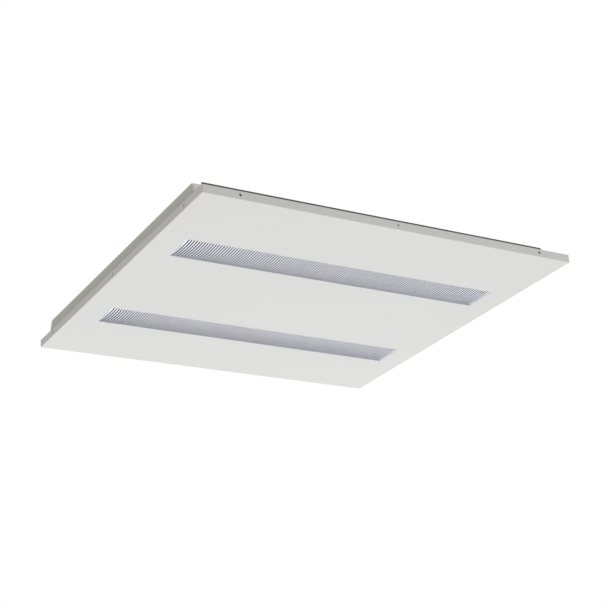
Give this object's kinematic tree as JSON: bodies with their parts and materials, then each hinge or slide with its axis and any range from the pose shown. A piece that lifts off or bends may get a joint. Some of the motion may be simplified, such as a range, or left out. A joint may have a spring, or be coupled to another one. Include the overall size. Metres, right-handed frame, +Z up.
{
  "type": "recessed troffer light",
  "caption": "Square recessed ceiling light for a tile grid, with louvred slots in a flat white face, a low rear housing and a hinged gear cover.",
  "frame": {"origin": "middle of the underside of the face, at the level of the ceiling grid", "axes": "+Z up, away from the room; +X along the light slots; +Y across them, towards the hinge of the gear cover"},
  "size_m": [0.595, 0.595, 0.0605],
  "materials": {
    "white_panel": "satin powder coat",
    "white_housing": "satin powder coat",
    "zinc": "zinc plated",
    "rivet_steel": "satin",
    "louvre": "matt",
    "opal": "opal, frosted",
    "reflector_white": "gloss white",
    "spring_steel": "spring steel",
    "aluminium": "mill finish",
    "board": "white solder mask",
    "led": "yellow phosphor",
    "white_plastic": "moulded",
    "zinc_sheet": "galvanised sheet",
    "driver_metal": "coated steel",
    "circuit": "green solder mask",
    "component": "moulded and sleeved",
    "brass": "turned",
    "rubber": "moulded",
    "grey_plastic": "moulded",
    "lead_grey": "PVC sheath",
    "lead_brown": "PVC insulation",
    "button": "moulded"
  },
  "bodies": {
    "luminaire": {"face_panel": "white_panel", "rear_housing": "white_housing", "panel_bracket_near": "zinc", "panel_bracket_far": "zinc", "side_spacers": "zinc", "edge_rivets": "rivet_steel", "wall_rivets": "rivet_steel", "louvre_near": "louvre", "louvre_far": "louvre", "diffuser_near": "opal", "diffuser_far": "opal", "reflector_near": "reflector_white", "reflector_far": "reflector_white", "reflector_ends_near": "reflector_white", "reflector_ends_far": "reflector_white", "louvre_clips": "spring_steel", "clip_nuts": "zinc", "heat_spreader_near": "aluminium", "heat_spreader_far": "aluminium", "led_board_near": "board", "led_board_far": "board", "leds_near": "led", "leds_far": "led", "board_plugs": "white_plastic", "board_screws": "zinc", "spreader_screws": "zinc", "gear_tray": "zinc_sheet", "tray_ends": "zinc_sheet", "hinge_pins": "zinc", "tray_screws": "zinc", "driver_case": "driver_metal", "driver_cover": "driver_metal", "driver_circuit": "circuit", "driver_components": "component", "driver_sockets": "white_plastic", "driver_screws": "zinc", "terminal_block": "white_plastic", "earth_stud": "brass", "earth_nut": "brass", "cable_grommet": "rubber", "blanking_plugs": "grey_plastic", "lead_grommets": "rubber", "led_lead_near": "lead_grey", "led_lead_far": "lead_grey", "supply_leads": "lead_brown", "clip_pivots": "zinc", "hanger_brackets": "zinc_sheet", "hanger_rivets": "rivet_steel"},
    "cover": {"gear_cover": "zinc_sheet"},
    "clip_1": {"grid_clip_1": "spring_steel"},
    "clip_2": {"grid_clip_2": "spring_steel"},
    "clip_3": {"grid_clip_3": "spring_steel"},
    "clip_4": {"grid_clip_4": "spring_steel"},
    "button_1": {"release_button_1": "button"},
    "button_2": {"release_button_2": "button"},
    "button_3": {"release_button_3": "button"},
    "button_4": {"release_button_4": "button"},
    "button_5": {"release_button_5": "button"}
  },
  "joints": [
    {"name": "cover_hinge", "type": "hinge", "parent": "luminaire", "child": "cover", "pos_m": [0, 0.063, 0.058], "axis": [-1, 0, 0], "range_deg": [0, 100]},
    {"name": "clip_swing_1", "type": "hinge", "parent": "luminaire", "child": "clip_1", "pos_m": [0.27, 0.2, 0.034], "axis": [0, 0, 1], "range_deg": [0, 90]},
    {"name": "clip_swing_2", "type": "hinge", "parent": "luminaire", "child": "clip_2", "pos_m": [-0.27, 0.2, 0.034], "axis": [0, 0, -1], "range_deg": [0, 90]},
    {"name": "clip_swing_3", "type": "hinge", "parent": "luminaire", "child": "clip_3", "pos_m": [-0.27, -0.2, 0.034], "axis": [0, 0, 1], "range_deg": [0, 90]},
    {"name": "clip_swing_4", "type": "hinge", "parent": "luminaire", "child": "clip_4", "pos_m": [0.27, -0.2, 0.034], "axis": [0, 0, -1], "range_deg": [0, 90]},
    {"name": "button_press_1", "type": "slide", "parent": "luminaire", "child": "button_1", "axis": [0, 0, -1], "range_m": [0, 0.002], "stiffness_N_per_m": 400, "springref_m": -0.0005},
    {"name": "button_press_2", "type": "slide", "parent": "luminaire", "child": "button_2", "axis": [0, 0, -1], "range_m": [0, 0.002], "stiffness_N_per_m": 400, "springref_m": -0.0005},
    {"name": "button_press_3", "type": "slide", "parent": "luminaire", "child": "button_3", "axis": [0, 0, -1], "range_m": [0, 0.002], "stiffness_N_per_m": 400, "springref_m": -0.0005},
    {"name": "button_press_4", "type": "slide", "parent": "luminaire", "child": "button_4", "axis": [0, 0, -1], "range_m": [0, 0.002], "stiffness_N_per_m": 400, "springref_m": -0.0005},
    {"name": "button_press_5", "type": "slide", "parent": "luminaire", "child": "button_5", "axis": [0, 0, -1], "range_m": [0, 0.002], "stiffness_N_per_m": 400, "springref_m": -0.0005}
  ]
}
